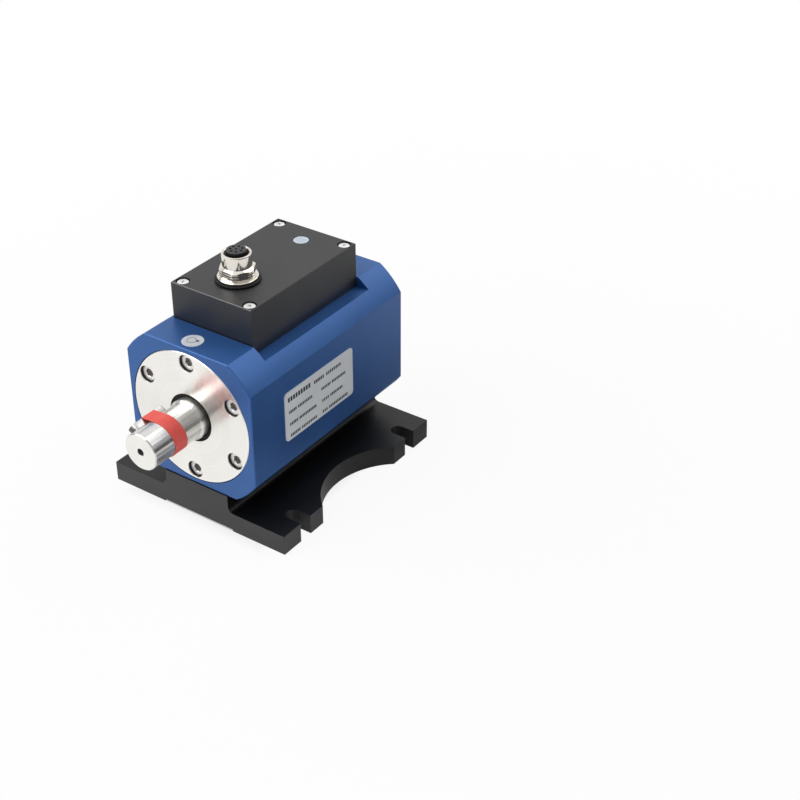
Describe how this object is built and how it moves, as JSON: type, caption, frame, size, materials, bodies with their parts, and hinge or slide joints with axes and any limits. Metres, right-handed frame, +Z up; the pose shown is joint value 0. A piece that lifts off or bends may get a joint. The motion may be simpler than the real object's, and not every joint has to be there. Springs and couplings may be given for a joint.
{
  "type": "rotary torque sensor",
  "caption": "Rotary torque sensor: keyed through shaft in bearings inside a square blue housing on a slotted black base, with a signal box and a round cable socket on top.",
  "frame": {"origin": "middle of the base's underside, below the middle of the shaft", "axes": "+Z up, +Y along the shaft away from the taped end, +X towards the side with the nameplate"},
  "size_m": [0.107, 0.188, 0.1291],
  "materials": {
    "black_anodised": "satin",
    "blue_anodised": "satin",
    "stainless": "brushed",
    "screw_steel": "polished",
    "bearing_steel": "polished",
    "spring_steel": "satin",
    "cage_polyamide": "matte",
    "black_rubber": "matte",
    "red_tape": "satin",
    "gauge_foil": "satin",
    "ferrite": "matte",
    "copper": "satin",
    "circuit_board": "satin",
    "lead_jacket": "satin",
    "black_plastic": "matte",
    "spacer_brass": "satin",
    "nickel_plate": "polished",
    "pale_window": "gloss",
    "plate_silver": "satin",
    "label_white": "matte"
  },
  "bodies": {
    "stator": {"base_plate": "black_anodised", "signal_box": "black_anodised", "housing": "blue_anodised", "front_cover": "stainless", "rear_cover": "stainless", "base_screws": "screw_steel", "front_cover_screws": "screw_steel", "rear_cover_screws": "screw_steel", "box_screws": "screw_steel", "board_screws": "screw_steel", "front_outer_ring": "bearing_steel", "rear_outer_ring": "bearing_steel", "front_clip": "spring_steel", "rear_clip": "spring_steel", "front_seal": "black_rubber", "rear_seal": "black_rubber", "socket_gasket": "black_rubber", "stator_core": "ferrite", "stator_winding": "copper", "main_board": "circuit_board", "stator_leads": "lead_jacket", "socket_insert": "black_plastic", "board_chips": "black_plastic", "board_spacers": "spacer_brass", "socket_contacts": "spacer_brass", "socket_shell": "nickel_plate", "socket_nut": "nickel_plate", "indicator_window": "pale_window", "nameplate": "plate_silver", "round_label": "label_white"},
    "rotor": {"shaft": "stainless", "front_key": "stainless", "rear_key": "stainless", "tape_band": "red_tape", "strain_gauges": "gauge_foil", "rotor_core": "ferrite", "rotor_winding": "copper", "rotor_board": "circuit_board", "front_inner_ring": "bearing_steel", "rear_inner_ring": "bearing_steel"},
    "front_ball_set": {"front_balls": "bearing_steel", "front_cage": "cage_polyamide"},
    "rear_ball_set": {"rear_balls": "bearing_steel", "rear_cage": "cage_polyamide"}
  },
  "joints": [
    {"name": "shaft_spin", "type": "hinge", "parent": "stator", "child": "rotor", "pos_m": [0, 0, 0.05725], "axis": [0, 1, 0], "continuous": true},
    {"name": "front_ball_spin", "type": "hinge", "parent": "stator", "child": "front_ball_set", "pos_m": [0, 0, 0.05725], "axis": [0, 1, 0], "continuous": true},
    {"name": "rear_ball_spin", "type": "hinge", "parent": "stator", "child": "rear_ball_set", "pos_m": [0, 0, 0.05725], "axis": [0, 1, 0], "continuous": true}
  ],
  "couplings": [
    {"joint": "front_ball_spin", "follows": "shaft_spin", "ratio": 0.42537},
    {"joint": "rear_ball_spin", "follows": "shaft_spin", "ratio": 0.42537}
  ]
}
